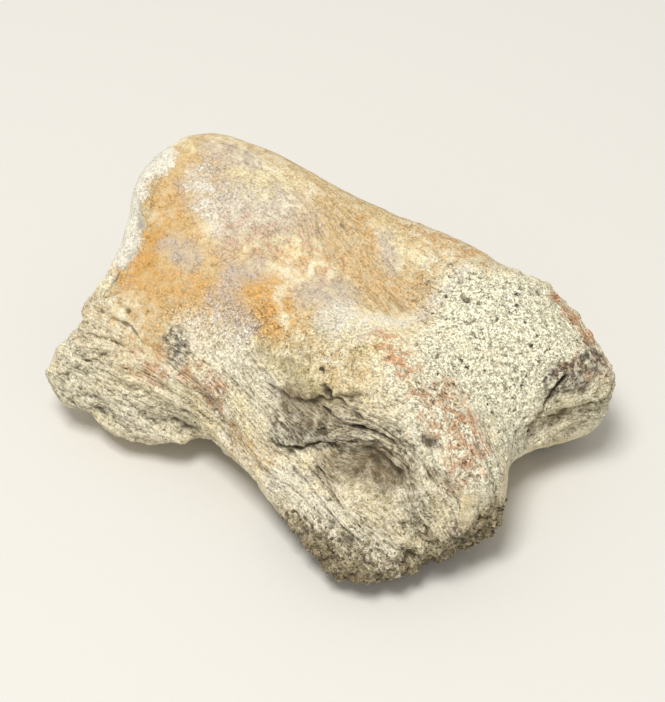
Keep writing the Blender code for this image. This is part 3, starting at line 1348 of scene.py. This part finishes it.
@dataclass
class SandCrust:
    """Grains of sand that stick to the crusted parts of the bone, in millimetres."""

    bone: bpy.types.Object
    grains_per_mm2: float = 5.0
    smallest: float = 0.1
    largest: float = 0.38
    seed: int = 7

    def build(self, finish: GrainFinish) -> bpy.types.Object:
        """Scatters the grains.

        Args:
            finish: What the grains are made of.

        Returns:
            One object with every grain, as plain mesh.
        """
        host = new_object("crust_host", self.bone.data.copy())
        modifier = host.modifiers.new("grains", "NODES")
        modifier.node_group = self.make_tree(finish.make())
        sizes = {
            "Grains per m2": self.grains_per_mm2 / MM**2,
            "Smallest": self.smallest * MM,
            "Largest": self.largest * MM,
            "Seed": self.seed,
        }
        for item in modifier.node_group.interface.items_tree:
            if item.name in sizes and item.in_out == "INPUT":
                modifier[item.identifier] = sizes[item.name]
        host.update_tag()
        mesh = plain_mesh(host, "sand_crust")
        places = read_rows(mesh.vertices, "co", 3)
        places[:, 2] = places[:, 2].clip(0, None)
        mesh.vertices.foreach_set("co", places.ravel())
        return new_object("sand_crust", mesh)

    def make_tree(self, material: bpy.types.Material) -> bpy.types.NodeTree:
        """Builds the tree that scatters the grains over the crusted surface.

        Args:
            material: The finish of the grains.

        Returns:
            The tree, with its sizes as named inputs.
        """
        tree = bpy.data.node_groups.new("scatter_grains", "GeometryNodeTree")
        inputs = {"Geometry": "Geometry", "Grains per m2": "Float", "Smallest": "Float", "Largest": "Float"}
        for name, kind in {**inputs, "Seed": "Int"}.items():
            tree.interface.new_socket(name, in_out="INPUT", socket_type=f"NodeSocket{kind}")
        tree.interface.new_socket("Geometry", in_out="OUTPUT", socket_type="NodeSocketGeometry")
        given = add_node(tree, "NodeGroupInput").outputs
        density = self.density(tree, given)
        surface = {"Mesh": given["Geometry"], "Density": density, "Seed": given["Seed"]}
        spots = add_node(tree, "GeometryNodeDistributePointsOnFaces", surface).outputs["Points"]
        tint = add_node(tree, "FunctionNodeRandomValue", {"Seed": given["Seed"]}, data_type="FLOAT")
        tinted = {"Geometry": spots, "Name": "grain_tint", "Value": tint}
        spots = add_node(
            tree, "GeometryNodeStoreNamedAttribute", tinted, data_type="FLOAT", domain="POINT"
        )
        chance = add_node(tree, "FunctionNodeRandomValue", {"Seed": 3}, data_type="FLOAT")
        chance = add_node(tree, "ShaderNodeMath", (chance, 2.0), operation="POWER")
        ends = {"To Min": given["Smallest"], "To Max": given["Largest"]}
        size = add_node(tree, "ShaderNodeMapRange", {"Value": chance, **ends})
        turns = {"Min": (0.0, 0.0, 0.0), "Max": (6.3, 6.3, 6.3), "Seed": 5}
        turn = add_node(tree, "FunctionNodeRandomValue", turns, data_type="FLOAT_VECTOR")
        placed = {"Points": spots, "Instance": self.grain(tree), "Rotation": turn, "Scale": size}
        placed = add_node(tree, "GeometryNodeInstanceOnPoints", placed)
        real = add_node(tree, "GeometryNodeRealizeInstances", {"Geometry": placed})
        painted = add_node(tree, "GeometryNodeSetMaterial", {"Geometry": real, "Material": material})
        add_node(tree, "NodeGroupOutput", {"Geometry": painted})
        return tree

    def density(self, tree: bpy.types.NodeTree, given: bpy.types.NodeOutputs) -> bpy.types.Node:
        """Sets how close the grains stand: most where the crust is thick, none against the ground.

        Args:
            tree: The tree of the grains.
            given: The tree's inputs.

        Returns:
            A node whose value is the number of grains per square metre.
        """
        named = {"Name": mark_of(Texture.CRUSTED)}
        crusted = add_node(tree, "GeometryNodeInputNamedAttribute", named, data_type="FLOAT")
        density = add_node(tree, "ShaderNodeMath", (crusted.outputs["Attribute"], 1.5), operation="POWER")
        place = add_node(tree, "ShaderNodeSeparateXYZ", (add_node(tree, "GeometryNodeInputPosition"),))
        heights = (place.outputs["Z"], given["Largest"])
        clear = add_node(tree, "ShaderNodeMath", heights, operation="GREATER_THAN")
        for factor in (clear, given["Grains per m2"]):
            density = add_node(tree, "ShaderNodeMath", (density, factor), operation="MULTIPLY")
        return density

    def grain(self, tree: bpy.types.NodeTree) -> bpy.types.Node:
        """Makes one grain, a ball with a few dents.

        Args:
            tree: The tree of the grains.

        Returns:
            A node whose output is the grain, with a radius of about 1.
        """
        ball = add_node(tree, "GeometryNodeMeshIcoSphere", {"Radius": 1.0, "Subdivisions": 1})
        place = add_node(tree, "GeometryNodeInputPosition")
        rough = add_node(tree, "ShaderNodeTexNoise", {"Vector": place, "Scale": 1.3, "Detail": 1.0})
        dents = (rough.outputs["Color"], (2.2,) * 3, (-1.1,) * 3)
        push = add_node(tree, "ShaderNodeVectorMath", dents, operation="MULTIPLY_ADD")
        return add_node(tree, "GeometryNodeSetPosition", {"Geometry": ball.outputs["Mesh"], "Offset": push})


@dataclass
class Studio:
    """A plain pale floor under a soft studio light, in metres."""

    view: PhotoView
    floor_across: float = 6.0
    key_power: float = 3.9
    key_across: float = 0.22
    key_distance: float = 0.7
    key_way: tuple[float, float, float] = (-0.14, 0.48, 0.87)
    fill_colour: str = "#faf8f4"
    fill_strength: float = 0.58

    def build(self, finish: CardFinish) -> None:
        """Adds the floor, the lights and the world.

        Args:
            finish: What the floor is made of.
        """
        self.make_floor(finish)
        self.make_key()
        world = bpy.data.worlds.new("studio")
        world.use_nodes = True
        fill = {"Color": linear(self.fill_colour), "Strength": self.fill_strength}
        feed(world.node_tree.nodes["Background"], fill)
        bpy.context.scene.world = world
        bpy.context.scene.view_settings.view_transform = "Standard"

    def make_floor(self, finish: CardFinish) -> None:
        """Adds the floor, just under the bone.

        Args:
            finish: What it is made of.
        """
        half = self.floor_across / 2
        mesh = bpy.data.meshes.new("floor")
        corners = [(-half, -half, 0), (half, -half, 0), (half, half, 0), (-half, half, 0)]
        mesh.from_pydata(corners, [], [(0, 1, 2, 3)])
        mesh.materials.append(finish.make())
        new_object("floor", mesh)

    def make_key(self) -> None:
        """Adds the main light, which stands above the camera and a little to its left."""
        way = (Matrix(self.view.axes()).transposed() @ Vector(self.key_way)).normalized()
        data = bpy.data.lights.new("key", "AREA")
        data.shape = "SQUARE"
        data.size = self.key_across
        data.energy = self.key_power
        light = new_object("key", data)
        light.location = way * self.key_distance
        light.rotation_mode = "QUATERNION"
        light.rotation_quaternion = way.to_track_quat("Z", "Y")


def main() -> None:
    """Builds the bone, its crust and the studio, and reports each."""
    logging.basicConfig(level=logging.INFO, format="%(message)s")
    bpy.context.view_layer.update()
    view = PhotoView()
    view.make_camera()
    bone = BoneSkin(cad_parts["toe_bone"], view).build(BoneFinish())
    crust = SandCrust(bone).build(GrainFinish())
    for piece in (bone, crust):
        log.info("%s: %d faces", piece.name, len(piece.data.polygons))
        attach(piece, "root")
    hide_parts("toe_bone")
    Studio(view).build(CardFinish())


if __name__ == "__main__":
    main()
